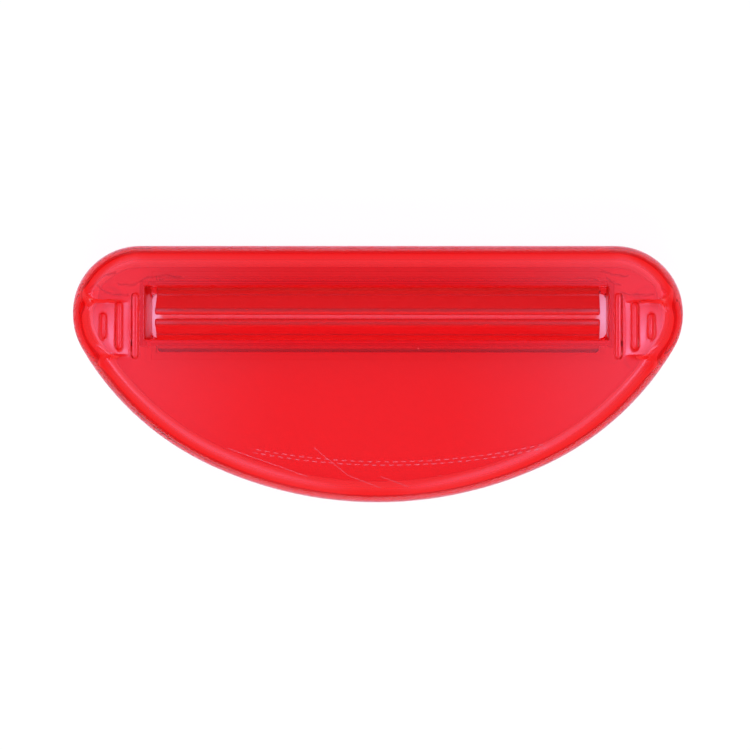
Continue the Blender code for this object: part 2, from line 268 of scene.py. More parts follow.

# Painted shade, as shares of the darker tint mixed into the base colour: on weld
# lines, along the feet of the ribs, and on the lower lip's root, over which it
# comes up within a reach
WELD_SHADE = 0.6
FOOT_SHADE = 0.5
RIB_FOOT = (0.6 * RIB_FLANK * RIB_HALF_WIDTH, 0.05 * MM)
ROOT_SHADE = 0.7
ROOT_SHADE_REACH = 0.5 * MM
LEAST_UPWARD = 0.05

# Scuffed plastic, and the rough ends of the window as a share of it
SCUFF_COLOUR = "#ffc08c"
SCUFF_ROUGHNESS = 0.6
SCUFF_GLINT = 0.42
DRAWN_SHARE = 0.5

# The moulded skin: lengths of its waves and streaks, and their heights in mm; the
# streaks are drawn out along Z
WAVE_LENGTH = 18.18 * MM
WAVE_HEIGHT = 0.015
STREAK_SPACING = 0.7143 * MM
STREAK_STRETCH = (0.0, 1.0, 0.06)
STREAK_HEIGHT = 0.02

# Polystyrene, and what its shadow lets through
POLYSTYRENE_IOR = 1.59
SHADOW_COLOUR = "#f7f7f7"

# Paper: its white, and as a backdrop its share that takes shade, its glow to the
# camera, and the share of that look which shows through the plastic
PAPER_WHITE = "#f3f3f1"
BACKDROP_SHADED = "#4b4b4b"
BACKDROP_GLOW = 0.94
BACKDROP_THROUGH = 0.6


def linear(hex_colour):
    """An sRGB hex colour as the linear RGBA that a node socket takes."""
    parts = [int(hex_colour[i:i + 2], 16) / 255 for i in (1, 3, 5)]
    levels = (p / 12.92 if p <= 0.04045 else ((p + 0.055) / 1.055) ** 2.4 for p in parts)
    return (*levels, 1.0)


# Outline of the housing

def lower_arcs():
    """Centres and radii of the flank and bottom arcs, and where they meet.

    The flank arc leaves the corner arc where its turn ends, the bottom arc is
    level on the middle line, and the two meet with equally long tangents.
    """
    corner = np.array((HALF_WIDTH - CORNER_RADIUS, SLOT_Y))
    outward = np.array((math.cos(CORNER_TURN), -math.sin(CORNER_TURN)))
    start = corner + outward * CORNER_RADIUS
    end = np.array((0.0, -HALF_HEIGHT))
    run_a = np.array((outward[1], -outward[0]))
    run_b = np.array((-1.0, 0.0))
    chord = end - start
    pull = chord @ (run_a + run_b)
    bend = 2 * (1 - run_a @ run_b)
    tangent = (math.sqrt(pull**2 + bend * (chord @ chord)) - pull) / bend
    meet = (start + end + (run_a - run_b) * tangent) / 2
    flank_radius = (meet - start) @ (meet - start) / (2 * (start - meet) @ outward)
    bottom_radius = (meet - end) @ (meet - end) / (2 * (meet - end)[1])
    flank, bottom = start - outward * flank_radius, end + (0, bottom_radius)
    return flank, flank_radius, bottom, bottom_radius, meet


def outline_arcs():
    """The corner, flank and bottom arcs as (centre, radius, first turn, last turn)."""
    flank, flank_radius, bottom, bottom_radius, meet = lower_arcs()
    corner = np.array((HALF_WIDTH - CORNER_RADIUS, SLOT_Y))
    meet_turn = math.atan2(*(meet - bottom)[::-1])
    return (
        (corner, CORNER_RADIUS, math.pi / 2, -CORNER_TURN),
        (flank, flank_radius, -CORNER_TURN, meet_turn),
        (bottom, bottom_radius, meet_turn, -math.pi / 2),
    )


def outline(share):
    """Points and outward normals of the right half of the outline.

    share runs along the half outline by length, from 0 at the middle of the top,
    over the corner arc, the flank arc and the bottom arc, to 1 at the bottom.
    """
    arcs = outline_arcs()
    lengths = [HALF_WIDTH - CORNER_RADIUS] + [radius * (a - b) for _, radius, a, b in arcs]
    ends = np.cumsum([0.0] + lengths)
    along = np.asarray(share) * ends[-1]
    points = np.stack((along, np.full_like(along, HALF_HEIGHT)), axis=-1)
    normals = np.tile((0.0, 1.0), (len(along), 1))
    for (centre, radius, a, b), start, length in zip(arcs, ends[1:], lengths[1:]):
        here = along > start
        turn = a - (along[here] - start) / length * (a - b)
        normals[here] = np.stack((np.cos(turn), np.sin(turn)), axis=-1)
        points[here] = centre + normals[here] * radius
    return points, normals


def outline_share_at_turn(turn):
    """Share of the half outline's length at which its normal has a turn.

    It is the straight part and each arc's length down to the turn, over the sum
    of the straight part and the whole arcs.
    """
    arcs = outline_arcs()
    straight = HALF_WIDTH - CORNER_RADIUS
    passed = sum(radius * (a - min(max(turn, b), a)) for _, radius, a, b in arcs)
    whole = sum(radius * (a - b) for _, radius, a, b in arcs)
    return (straight + passed) / (straight + whole)


# Meshes from grids

def grid_mesh(name, grid, material, closed_u=True, closed_v=True, cap_ends=False):
    """A mesh of quads over grid[u, v], closed in either direction.

    Points that coincide are merged, which closes seams and drops empty faces, and
    the faces are turned outwards. A grid of loops may have both ends capped by
    strips of quads across the loop.
    """
    rows, columns = grid.shape[:2]
    index = np.arange(rows * columns).reshape(rows, columns)
    u = np.arange(rows if closed_u else rows - 1)
    v = np.arange(columns if closed_v else columns - 1)
    uu, vv = np.meshgrid(u, v, indexing="ij")
    after_u, after_v = (uu + 1) % rows, (vv + 1) % columns
    quads = np.stack((
        index[uu, vv], index[after_u, vv], index[after_u, after_v], index[uu, after_v],
    ), axis=-1)
    faces = quads.reshape(-1, 4).tolist()
    if cap_ends:
        half = columns // 2
        i = np.arange(half - 1)
        for row in (0, rows - 1):
            cap = index[row]
            across = (cap[i], cap[i + 1], cap[columns - 2 - i], cap[columns - 1 - i])
            faces += np.stack(across, axis=-1).tolist()
    mesh = bpy.data.meshes.new(name)
    mesh.from_pydata(grid.reshape(-1, 3).tolist(), [], faces)
    bm = bmesh.new()
    bm.from_mesh(mesh)
    bmesh.ops.remove_doubles(bm, verts=bm.verts[:], dist=MERGE_DISTANCE)
    bmesh.ops.dissolve_degenerate(bm, edges=bm.edges[:], dist=THINNEST_FACE)
    bmesh.ops.recalc_face_normals(bm, faces=bm.faces[:])
    bm.to_mesh(mesh)
    bm.free()
    mesh.shade_smooth()
    mesh.set_sharp_from_angle(angle=SHARP_ANGLE)
    mesh.materials.append(material)
    made = bpy.data.objects.new(name, mesh)
    bpy.context.scene.collection.objects.link(made)
    return made


def both_halves(right):
    """Stations of the right half, followed by their mirror images on the left."""
    left = right[::-1].copy()
    left[..., 0] *= -1
    return np.concatenate((right, left))


def smooth_step(x, low, high):
    """0 below low, 1 above high, and a smooth cubic between."""
    t = np.clip((x - low) / (high - low), 0.0, 1.0)
    return t * t * (3 - 2 * t)


def pad_fall(x, y, inner=0.0):
    """How far the thumb pads lower the face at (x, y).

    A plane that falls with the pad's slope past the bend, within the pad's
    height, with a short steep step at its upper and lower edge, and a very
    slight crown on the plane. The steps fade out towards the rim, the lower one
    sooner. inner is the depth below the face at which the surface lies, for the
    inside of the wall, whose steps are gentle.
    """
    past = np.maximum(np.abs(x) - (PAD_START - inner * math.tan(PAD_SLOPE / 2)), 0.0)
    above, below = SLOT_Y + PAD_ABOVE_SLOT + inner, SLOT_Y - PAD_BELOW_SLOT - inner
    half = (PAD_INNER_STEP_WIDTH if inner else PAD_STEP_WIDTH) / 2
    low, high = (
        half + PAD_STEP_FADE * smooth_step(np.abs(x) + sooner, PAD_STEP_FADE_FROM, PAD_STEP_FADE_TO)
        for sooner in (PAD_LOWER_FADE_SOONER, 0.0))
    inside = smooth_step(y, below - low, below + low)
    inside = inside * (1 - smooth_step(y, above - high, above + high))
    along = np.minimum(past / PAD_LENGTH, 1.0)
    across = np.minimum(np.abs((y - (above + below) / 2) / ((above - below) / 2)), 1.0)
    crown = 0.0 if inner else PAD_CROWN * 4 * along * (1 - along) * (1 - across**2)
    return (past * math.tan(PAD_SLOPE) - crown) * inside


def rib_rise(x, y):
    """How far the grip ribs stand out of the face at (x, y).

    Each is a pill with smooth steep flanks, RIB_FLANK of its half width wide, and
    a slightly crowned top.
    """
    rise = np.zeros_like(x)
    for number, length in enumerate(RIB_LENGTHS):
        from_axis = np.abs(x) - (RIB_FIRST + number * RIB_PITCH)
        from_row = np.abs(y - (SLOT_Y - RIB_ROW_BELOW_SLOT))
        beyond = np.maximum(from_row - (length / 2 - RIB_HALF_WIDTH), 0.0)
        away = np.minimum(np.hypot(from_axis, beyond) / RIB_HALF_WIDTH, 1.0)
        flank = smooth_step(1 - away, 0.0, RIB_FLANK)
        rise = np.maximum(rise, (RIB_RISE - RIB_CROWN * away**2) * flank)
    return rise


def foot_z(y):
    """Height of a long wall's slanted foot, at distance y from the slot.

    It lies on a line along the opened blade, off the root's middle by half the
    blade, its shoulder and a gap.
    """
    blade_lean = math.atan2(ROOT_Y - NOSE_Y, NOSE_Z - ROOT_Z) - LIP_OPENING_ANGLE
    reach = LIP_BLADE_THICKNESS / 2 + LIP_SHOULDER_RISE + COVER_GAP
    return ROOT_Z + (reach - (y - ROOT_Y) * math.cos(blade_lean)) / math.sin(blade_lean)


def ring(points, normals, inset, z):
    """Row of points moved in from the outline by inset, at height z."""
    moved = points - normals * np.reshape(inset, (-1, 1))
    return np.column_stack((moved, np.broadcast_to(z, len(moved))))


def spread(start, end, shares):
    """Rows of places between start and end, straight in plan, at the given shares."""
    return [start[:, :2] + (end[:, :2] - start[:, :2]) * s for s in shares]


def shell_stations():
    """Stations round the right half of the shell: outline, window and tube wall.

    They go along the top edge of the window, down its short side and back along
    its bottom edge. At each corner three stations share one place in the face,
    where the slanted foot of the long wall drops to the level foot of the end.
    """
    top_share = outline_share_at_turn(TOP_TURN)
    low_share = outline_share_at_turn(LOW_TURN)
    top = np.linspace(0.0, 1.0, TOP_STATIONS)
    side = np.linspace(0.0, 1.0, SIDE_STATIONS)
    bottom = np.linspace(0.0, 1.0, LOW_STATIONS)
    share = np.concatenate((
        top * top_share, [top_share],
        top_share + side * (low_share - top_share), [low_share],
        low_share + bottom * (1 - low_share),
    ))
    length, height = WINDOW_HALF_LENGTH, WINDOW_HALF_HEIGHT
    window = np.concatenate((
        np.stack((top * length, np.full_like(top, height)), axis=-1),
        [(length, height)],
        np.stack((np.full_like(side, length), height - side * 2 * height), axis=-1),
        [(length, -height)],
        np.stack((length - bottom * length, np.full_like(bottom, -height)), axis=-1),
    ))
    tube = window.copy()
    short_side = slice(TOP_STATIONS + 1, -LOW_STATIONS - 1)
    tube[:TOP_STATIONS + 1, 1] = height + TUBE_WALL
    tube[-LOW_STATIONS - 1:, 1] = -height - TUBE_WALL
    tube[short_side, 0] = length + TUBE_WALL
    tube[short_side, 1] *= (height + TUBE_WALL) / height
    slanted = np.ones(len(share), bool)
    slanted[TOP_STATIONS:-LOW_STATIONS] = False
    points, normals = outline(share)
    window[:, 1] += SLOT_Y
    tube[:, 1] += SLOT_Y
    return points, normals, window, tube, slanted


def front_shell(material):
    """The cup: one closed profile carried round the ring between outline and window.

    The profile runs from the rim up the side wall, over the rounded edge, across
    the face with its pads and ribs, down the window, round the foot of the tube
    wall, up its back, out under the face and down the inside of the side wall.
    """
    points, normals, window, tube, slanted = shell_stations()
    rows = [
        ring(points, normals, RIM_WALL, 0.0),
        ring(points, normals, BACK_EDGE_ROUND, 0.0),
        ring(points, normals, BACK_EDGE_ROUND * BACK_EDGE_BULGE, BACK_EDGE_ROUND * BACK_EDGE_BULGE),
        ring(points, normals, 0.0, BACK_EDGE_ROUND),
    ]
    hinge = (FACE_Z - EDGE_ROUND - PAD_HINGE_DROP, FACE_Z)

    def lowered(row, fall_hinge, inner=0.0):
        """The row, sunk by the pads' fall times its share of the hinge's height."""
        share = np.interp(row[:, 2], fall_hinge, (0.0, 1.0))
        row[:, 2] -= pad_fall(row[:, 0], row[:, 1], inner) * share
        return row

    side_z = np.linspace(BACK_EDGE_ROUND, FACE_Z - EDGE_ROUND, 9)[1:-1]
    rows += [lowered(ring(points, normals, 0.0, z), hinge) for z in side_z]
    for turn in np.linspace(0.0, math.pi / 2, EDGE_TURNS):
        inset = EDGE_ROUND * (1 - math.cos(turn))
        z = FACE_Z - EDGE_ROUND * (1 - math.sin(turn))
        rows.append(lowered(ring(points, normals, inset, z), hinge))

    edge = rows[-1]
    lead = window + outward_from(window, WINDOW_LEAD)
    for plan in spread(edge, lead, np.linspace(0, 1, FACE_ROWS)[1:]):
        x, y = plan.T
        rows.append(np.column_stack((plan, FACE_Z - pad_fall(x, y) + rib_rise(x, y))))
    for turn in np.linspace(0.0, math.pi / 2, LEAD_TURNS)[1:]:
        plan = window + outward_from(window, WINDOW_LEAD * (1 - math.sin(turn)))
        z = FACE_Z - WINDOW_LEAD * (1 - math.cos(turn))
        rows.append(np.column_stack((plan, np.full(len(plan), z))))

    from_slot = np.abs(window[:, 1] - SLOT_Y)
    foot_in = np.where(slanted, foot_z(from_slot), REBATE_DEPTH)
    foot_out = np.where(slanted, foot_z(np.abs(tube[:, 1] - SLOT_Y)), REBATE_DEPTH)
    for share in np.linspace(0, 1, WALL_ROWS)[1:]:
        z = FACE_Z - WINDOW_LEAD + (foot_in - FACE_Z + WINDOW_LEAD) * share
        rows.append(np.column_stack((window, z)))
    rows.append(np.column_stack((tube, foot_out)))
    roof = FACE_Z - FACE_WALL
    for share in np.linspace(0, 1, 5)[1:]:
        rows.append(np.column_stack((tube, foot_out + (roof - foot_out) * share)))

    inner_hinge = (roof / 2, roof - INNER_ROUND)
    inner_edge = ring(points, normals, SIDE_WALL + INNER_ROUND, roof)
    for plan in spread(rows[-1], inner_edge, np.linspace(0, 1, ROOF_ROWS)[1:-1]):
        x, y = plan.T
        rows.append(np.column_stack((plan, roof - pad_fall(x, y, FACE_WALL))))
    for turn in np.linspace(math.pi / 2, 0.0, INNER_TURNS):
        inset = SIDE_WALL + INNER_ROUND * (1 - math.cos(turn))
        z = roof - INNER_ROUND * (1 - math.sin(turn))
        rows.append(lowered(ring(points, normals, inset, z), inner_hinge, FACE_WALL))
    for z in np.linspace(roof - INNER_ROUND, REBATE_DEPTH, WALL_ROWS)[1:]:
        rows.append(lowered(ring(points, normals, SIDE_WALL, z), inner_hinge, FACE_WALL))
    rows.append(ring(points, normals, RIM_WALL, REBATE_DEPTH))
    return grid_mesh("clear_front_shell", both_halves(np.stack(rows, axis=1)), material)


def outward_from(window, distance):
    """Steps out of the window rectangle, square to the side a point lies on."""
    x, y = window[:, 0], window[:, 1] - SLOT_Y
    on_end = np.isclose(np.abs(x), WINDOW_HALF_LENGTH)
    on_long = np.isclose(np.abs(y), WINDOW_HALF_HEIGHT)
    return np.stack((np.sign(x) * on_end, np.sign(y) * on_long), axis=-1) * distance


def cover_stations():
    """Stations round the right half of the cover, with the throat and the seats.

    Along the long sides they keep to one x, so that the seats run straight. The
    throat's corners are quarter circles, and next to each end of a seat and of
    its groove two stations lie close together.
    """
    long_x = np.concatenate((
        np.linspace(0.0, EVEN_STATIONS_END, THROAT_EVEN),
        np.linspace(EVEN_STATIONS_END + STATION_GAP, GROOVE_END, 4),
        [GROOVE_END + STATION_STEP],
        np.linspace(GROOVE_END + STATION_GAP, SEAT_END, 4),
        [SEAT_END + STATION_STEP, SEAT_END + THROAT_CORNER_START],
    ))
    corner_x = WINDOW_HALF_LENGTH - THROAT_CORNER
    corner_y = THROAT_HALF_HEIGHT - THROAT_CORNER
    throat_y = corner_y + np.sqrt(THROAT_CORNER**2 - np.maximum(long_x - corner_x, 0.0) ** 2)
    turn_end = math.acos((long_x[-1] - corner_x) / THROAT_CORNER)
    turns = np.linspace(turn_end, 0.0, THROAT_TURNS)[1:]
    arc = (corner_x, corner_y) + THROAT_CORNER * np.stack((np.cos(turns), np.sin(turns)), axis=-1)
    side = np.linspace(corner_y, 0.0, THROAT_SIDE)[1:]
    quarter = np.concatenate((
        np.stack((long_x, throat_y), axis=-1), arc,
        np.stack((np.full(len(side), WINDOW_HALF_LENGTH), side), axis=-1),
    ))
    half = np.concatenate((quarter, (quarter * (1, -1))[-2::-1]))
    split = len(long_x)
    grooved = np.zeros(len(half))
    seated = np.zeros(len(half))
    grooved[:split] = long_x <= GROOVE_END
    seated[:split] = long_x <= SEAT_END
    grooved[-split:] = grooved[:split][::-1]
    seated[-split:] = seated[:split][::-1]
    top_share = outline_share_at_turn(TOP_TURN)
    low_share = outline_share_at_turn(LOW_TURN)
    count_side = len(half) - 2 * split
    share = np.concatenate((
        long_x / long_x[-1] * top_share,
        np.linspace(top_share, low_share, count_side + 2)[1:-1],
        1 - (long_x / long_x[-1])[::-1] * (1 - low_share),
    ))
    return share, half, grooved, seated, split


def back_cover(material):
    """The cover: a plate with a throat, and two seats with round grooves on it.

    One closed profile is carried round the ring between outline and throat. On
    the long sides it rises over the fence, down into the groove, and over the
    horn to the throat. Past the seats' ends the same points lie on the plate.
    """
    share, throat, grooved, seated, split = cover_stations()
    points, normals = outline(share)
    inset = RIM_WALL + COVER_GAP
    side = np.sign(throat[:, 1])
    side[side == 0] = 1
    place = throat + (0, SLOT_Y)
    edge_round = COVER_EDGE_ROUND
    rows = [
        ring(points, normals, inset + edge_round, 0.0),
        ring(points, normals, inset, edge_round),
        ring(points, normals, inset, COVER_THICKNESS - edge_round),
        ring(points, normals, inset + edge_round, COVER_THICKNESS),
    ]
    fence_in = ROOT_Y + SEAT_BORE
    fence_out = fence_in + SEAT_WALL
    horn_top = ROOT_Z - SEAT_HORN_DROP
    fence_top = ROOT_Z + SEAT_FENCE_RISE
    low_end = math.asin(SEAT_HORN_DROP / SEAT_BORE) - math.pi
    turns = np.linspace(0.0, low_end, GROOVE_TURNS)
    profile = [(fence_out + SEAT_FOOT, COVER_THICKNESS), (fence_out, COVER_THICKNESS)]
    profile += [(fence_out, fence_top), (fence_in, fence_top)]
    groove = [(ROOT_Y + SEAT_BORE * math.cos(a), ROOT_Z + SEAT_BORE * math.sin(a)) for a in turns]
    bridge_slope = (horn_top - fence_top) / (fence_in - THROAT_HALF_HEIGHT)
    bridge = [fence_top + bridge_slope * (fence_in - y) for y, _ in groove]

    on_side = np.zeros(len(throat), bool)
    on_side[:split] = on_side[-split:] = True
    across = np.stack((np.zeros_like(side), side), axis=-1)
    direction = np.where(on_side[:, None], across, (1.0, 0.0))
    from_throat = np.where(on_side, np.abs(throat[:, 1]), THROAT_HALF_HEIGHT)

    def seat_row(y, z_grooved, z_bridged):
        """Row at distance y from the slot, level with the plate past the seats."""
        plan = place + direction * (y - from_throat)[:, None]
        z = np.where(seated > 0, np.where(grooved > 0, z_grooved, z_bridged), COVER_THICKNESS)
        return np.column_stack((plan, z))

    first = seat_row(profile[0][0], profile[0][1], profile[0][1])
    for plan in spread(rows[-1], first, np.linspace(0, 1, 5)[1:-1]):
        rows.append(np.column_stack((plan, np.full(len(plan), COVER_THICKNESS))))
    rows += [seat_row(y, z, z) for y, z in profile]
    rows += [seat_row(y, z, bridge_z) for (y, z), bridge_z in zip(groove, bridge)]
    rows.append(np.column_stack((place, np.where(seated > 0, horn_top, COVER_THICKNESS))))
    rows.append(np.column_stack((place, np.full(len(place), THROAT_LEAD))))
    out = throat_normals(throat)
    rows.append(np.column_stack((place + out * THROAT_LEAD, np.zeros(len(place)))))
    return grid_mesh("clear_back_cover", both_halves(np.stack(rows, axis=1)), material)


def throat_normals(throat):
    """Directions out of the throat's rounded rectangle at its points."""
    corner_x = WINDOW_HALF_LENGTH - THROAT_CORNER
    corner_y = THROAT_HALF_HEIGHT - THROAT_CORNER
    away = throat - np.clip(throat, (-np.inf, -corner_y), (corner_x, corner_y))
    return away / np.linalg.norm(away, axis=1, keepdims=True)


def lip_section(nose_y):
    """Section of a lip in (along, across), as two equally long sides.

    The root is an arc of a circle, the blade is straight with a thicker shoulder
    near the root on its outer side, and the nose is a round bead. The first side
    runs from the back of the root over the outer side to the tip of the nose, and
    the second one back.
    """
    length = math.hypot(ROOT_Y - nose_y, NOSE_Z - ROOT_Z)
    lean = math.atan2(ROOT_Y - nose_y, NOSE_Z - ROOT_Z)
    half = LIP_BLADE_THICKNESS / 2
    thick = half + LIP_SHOULDER_RISE
    shoulder = (LIP_SHOULDER_FROM_ROOT + half * math.cos(lean)) / math.sin(lean)
    sides = []
    for sign, root_half in ((1, thick), (-1, half)):
        root_turn = math.asin(root_half / LIP_ROOT_RADIUS)
        nose_turn = math.pi - math.asin(half / LIP_NOSE_RADIUS)
        turns = np.linspace(math.pi, root_turn, ROOT_TURNS)
        root = LIP_ROOT_RADIUS * np.stack((np.cos(turns), np.sin(turns)), axis=-1)
        blade_start = root[-1]
        step = [(shoulder - LIP_SHOULDER_RISE, root_half), (shoulder, half)]
        turns = np.linspace(nose_turn, 0.0, NOSE_TURNS)
        nose = (length, 0.0) + LIP_NOSE_RADIUS * np.stack((np.cos(turns), np.sin(turns)), axis=-1)
        blade_a = np.linspace(blade_start, step[0], 5)[1:]
        blade_b = np.linspace(step[1], nose[0], 7)[:-1]
        line = np.concatenate((root, blade_a, blade_b, nose))
        line[:, 1] *= sign
        sides.append(line)
    loop = np.concatenate((sides[0], sides[1][::-1]))
    return loop, lean


def lip(name, side, material):
    """A lip: its section carried along X, drawn in at the ends to round them.

    Near an end the section shrinks along its own normals by a quarter circle, and
    the end itself is set back at the root by the round corners of the lip's plan.
    The two noses meet a little below the middle of the window.
    """
    loop, lean = lip_section(NOSE_Y - side * NOSES_BELOW_SLOT)
    ahead = np.roll(loop, -1, axis=0) - np.roll(loop, 1, axis=0)
    normal = np.stack((ahead[:, 1], -ahead[:, 0]), axis=-1)
    normal /= np.maximum(np.linalg.norm(normal, axis=1, keepdims=True), 1e-12)
    if (loop * normal).sum() < 0:
        normal = -normal
    half_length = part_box(name)[1].x
    from_back = loop[:, 0] + LIP_ROOT_RADIUS
    corner = np.clip(LIP_CORNER_ROUND - from_back, 0.0, LIP_CORNER_ROUND)
    set_back = LIP_CORNER_ROUND - np.sqrt(LIP_CORNER_ROUND**2 - corner**2 * LIP_CORNER_EASE)
    turns = np.linspace(0.0, math.pi / 2, LIP_END_TURNS)
    ends = half_length - LIP_END_ROUND * (1 - np.sin(turns[::-1]))
    draws = LIP_END_ROUND * (1 - np.cos(turns[::-1]))
    middle_half = half_length - LIP_END_ROUND - LIP_END_REACH
    middles = np.linspace(-1.0, 1.0, LIP_STATIONS)[1:-1] * middle_half
    x = np.concatenate((-ends, middles, ends[::-1]))
    draw = np.concatenate((draws, np.zeros(len(middles)), draws[::-1]))
    near_end = np.concatenate((np.ones(len(ends)), np.zeros(len(middles)), np.ones(len(ends))))
    section = loop[None] - normal[None] * draw[:, None, None]
    along, across = section[..., 0], section[..., 1]
    y = across * math.cos(lean) - along * math.sin(lean)
    z = along * math.cos(lean) + across * math.sin(lean)
    xs = x[:, None] - np.sign(x)[:, None] * set_back[None] * near_end[:, None]
    grid = np.stack((xs, SLOT_Y + side * (ROOT_Y + y), ROOT_Z + z), axis=-1)
    return grid_mesh(f"moulded_{name}", grid, material, closed_u=False, cap_ends=True)


# Materials

SMOOTH = {"interpolation_type": "SMOOTHSTEP"}


def socket_at(sockets, key):
    """A node's socket by its identifier, or else by its name or its place in the row."""
    return next((socket for socket in sockets if socket.identifier == key), None) or sockets[key]


def node(tree, kind, *inputs, out=0, named=(), **settings):
    """Adds one node with its settings and inputs, and gives one of its outputs.

    inputs fill the sockets in their order, and named holds others by their keys. An
    output of another node is linked, and any other value is set on the socket.
    """
    made = tree.nodes.new("ShaderNode" + kind)
    for name, value in settings.items():
        setattr(made, name, value)
    for key, value in (*enumerate(inputs), *dict(named).items()):
        socket = socket_at(made.inputs, key)
        if isinstance(value, bpy.types.NodeSocket):
            tree.links.new(value, socket)
        else:
            socket.default_value = value
    return socket_at(made.outputs, out) if made.outputs else None


def near_line(tree, plan, start, end, half_width):
    """1 on a straight line between two places of the plan, falling to 0 beside it.

    The foot of a place on the line is held between the line's ends, and the
    distance from the foot fades over half_width.
    """
    run = Vector(end) - Vector(start)
    per_length = (*(run / run.length_squared), 0.0)
    from_start = node(tree, "VectorMath", plan, (*start, 0.0), operation="SUBTRACT")
    along = node(tree, "VectorMath", from_start, per_length, operation="DOT_PRODUCT", out="Value")
    held = node(tree, "Clamp", along)
    foot = node(tree, "VectorMath", (*run, 0.0), named={"Scale": held}, operation="SCALE")
    off = node(tree, "VectorMath", from_start, foot, operation="DISTANCE", out="Value")
    return node(tree, "MapRange", off, half_width, 0.0, **SMOOTH)


def flat(tree, place):
    """The place with its height set to 0."""
    return node(tree, "VectorMath", place, (1.0, 1.0, 0.0), operation="MULTIPLY")


def wear(tree, place):
    """Scuffed share of the face: dashed arcs, fine scratches and specks of dust.

    An arc is where the distance from its centre comes near its radius, cut into
    dashes by the fraction of x over the dash's length. A speck is a small disc in
    the middle of a few of the face's cells. The strongest of the marks counts.
    """
    plan = flat(tree, place)
    x, _, z = node(tree, "SeparateXYZ", place).node.outputs
    from_centre = node(tree, "VectorMath", plan, ARC_CENTRE, operation="DISTANCE", out="Value")
    marks = 0.0
    for number, radius in enumerate(ARC_RADII):
        off = node(tree, "Math", from_centre, radius, operation="SUBTRACT")
        off = node(tree, "Math", off, operation="ABSOLUTE")
        on_arc = node(tree, "MapRange", off, *ARC_LINE, 0.0, ARC_SHARE, **SMOOTH)
        dash = node(tree, "Math", x, 1 / ARC_DASH, number * ARC_STAGGER, operation="MULTIPLY_ADD")
        dash = node(tree, "Math", dash, operation="FRACT")
        dash = node(tree, "Math", dash, ARC_DASH_SHARE, operation="LESS_THAN")
        dashed = node(tree, "Math", on_arc, dash, operation="MULTIPLY")
        marks = node(tree, "Math", dashed, marks, operation="MAXIMUM")
    for end, inward in zip(ARC_ENDS, (ARC_FADE, -ARC_FADE)):
        fade = node(tree, "MapRange", x, end - inward, end + inward, **SMOOTH)
        marks = node(tree, "Math", marks, fade, operation="MULTIPLY")
    for start, end in SCRATCHES:
        scratch = near_line(tree, plan, start, end, SCRATCH_WIDTH)
        scratch = node(tree, "Math", scratch, SCRATCH_SHARE, operation="MULTIPLY")
        marks = node(tree, "Math", marks, scratch, operation="MAXIMUM")
    cells = {"Vector": plan, "Scale": 1 / SPECK_SPACING}
    specks = node(tree, "TexVoronoi", named=cells).node.outputs
    chance = node(tree, "SeparateXYZ", specks["Color"])
    rare = node(tree, "Math", chance, SPECK_RARITY, operation="GREATER_THAN")
    dust = node(tree, "MapRange", specks["Distance"], *SPECK_EDGE, **SMOOTH)
    dust = node(tree, "Math", dust, rare, operation="MULTIPLY")
    marks = node(tree, "Math", marks, dust, operation="MAXIMUM")
    on_face = node(tree, "Math", z, FACE_Z - FACE_SKIN, operation="GREATER_THAN")
    return node(tree, "Math", marks, on_face, operation="MULTIPLY")


def window_ends(tree, place):
    """1 on the end walls of the window, which are drawn rough from the mould.

    That is where x is half the window's length either way, within its height.
    """
    x, y, _ = node(tree, "SeparateXYZ", place).node.outputs
    from_middle = node(tree, "Math", x, operation="ABSOLUTE")
    on_wall = node(tree, "Math", from_middle, WINDOW_HALF_LENGTH, WALL_SKIN, operation="COMPARE")
    within = node(tree, "Math", y, SLOT_Y, WINDOW_HALF_HEIGHT + FACE_SKIN, operation="COMPARE")
    return node(tree, "Math", on_wall, within, operation="MULTIPLY")


def flow(tree, place, ends):
    """Heights in mm of the moulded skin: soft waves, and streaks in the window's ends.

    The streaks run down the way the mould's core was drawn.
    """
    soft = {"Vector": place, "Scale": 1 / WAVE_LENGTH, "Detail": 1.0}
    waves = node(tree, "TexNoise", named=soft)
    drawn = node(tree, "VectorMath", place, STREAK_STRETCH, operation="MULTIPLY")
    fine = {"Vector": drawn, "Scale": 1 / STREAK_SPACING, "Detail": 1.0}
    streaks = node(tree, "TexNoise", named=fine)
    streaks = node(tree, "Math", streaks, ends, operation="MULTIPLY")
    streaks = node(tree, "Math", streaks, STREAK_HEIGHT, operation="MULTIPLY")
    return node(tree, "Math", waves, WAVE_HEIGHT, streaks, operation="MULTIPLY_ADD")


def weld_lines(tree, place):
    """1 on the weld lines of the shoulders, which wander with a noise, where dark lines
    are painted as shade.
    """
    noise = {"Vector": place, "Scale": 1 / WELD_WANDER_LENGTH, "Detail": 2.0}
    shift = node(tree, "TexNoise", named=noise, out="Color")
    shift = node(tree, "VectorMath", shift, (0.5, 0.5, 0.5), operation="SUBTRACT")
    shift = node(tree, "VectorMath", shift, named={"Scale": WELD_WANDER}, operation="SCALE")
    bent = node(tree, "VectorMath", flat(tree, place), flat(tree, shift), operation="ADD")
    lines = 0.0
    for places in WELD_LINES:
        for start, end in zip(places, places[1:]):
            in_metres = [(x * MM, y * MM) for x, y in (start, end)]
            line = near_line(tree, bent, *in_metres, WELD_WIDTH)
            lines = node(tree, "Math", line, lines, operation="MAXIMUM")
    return lines


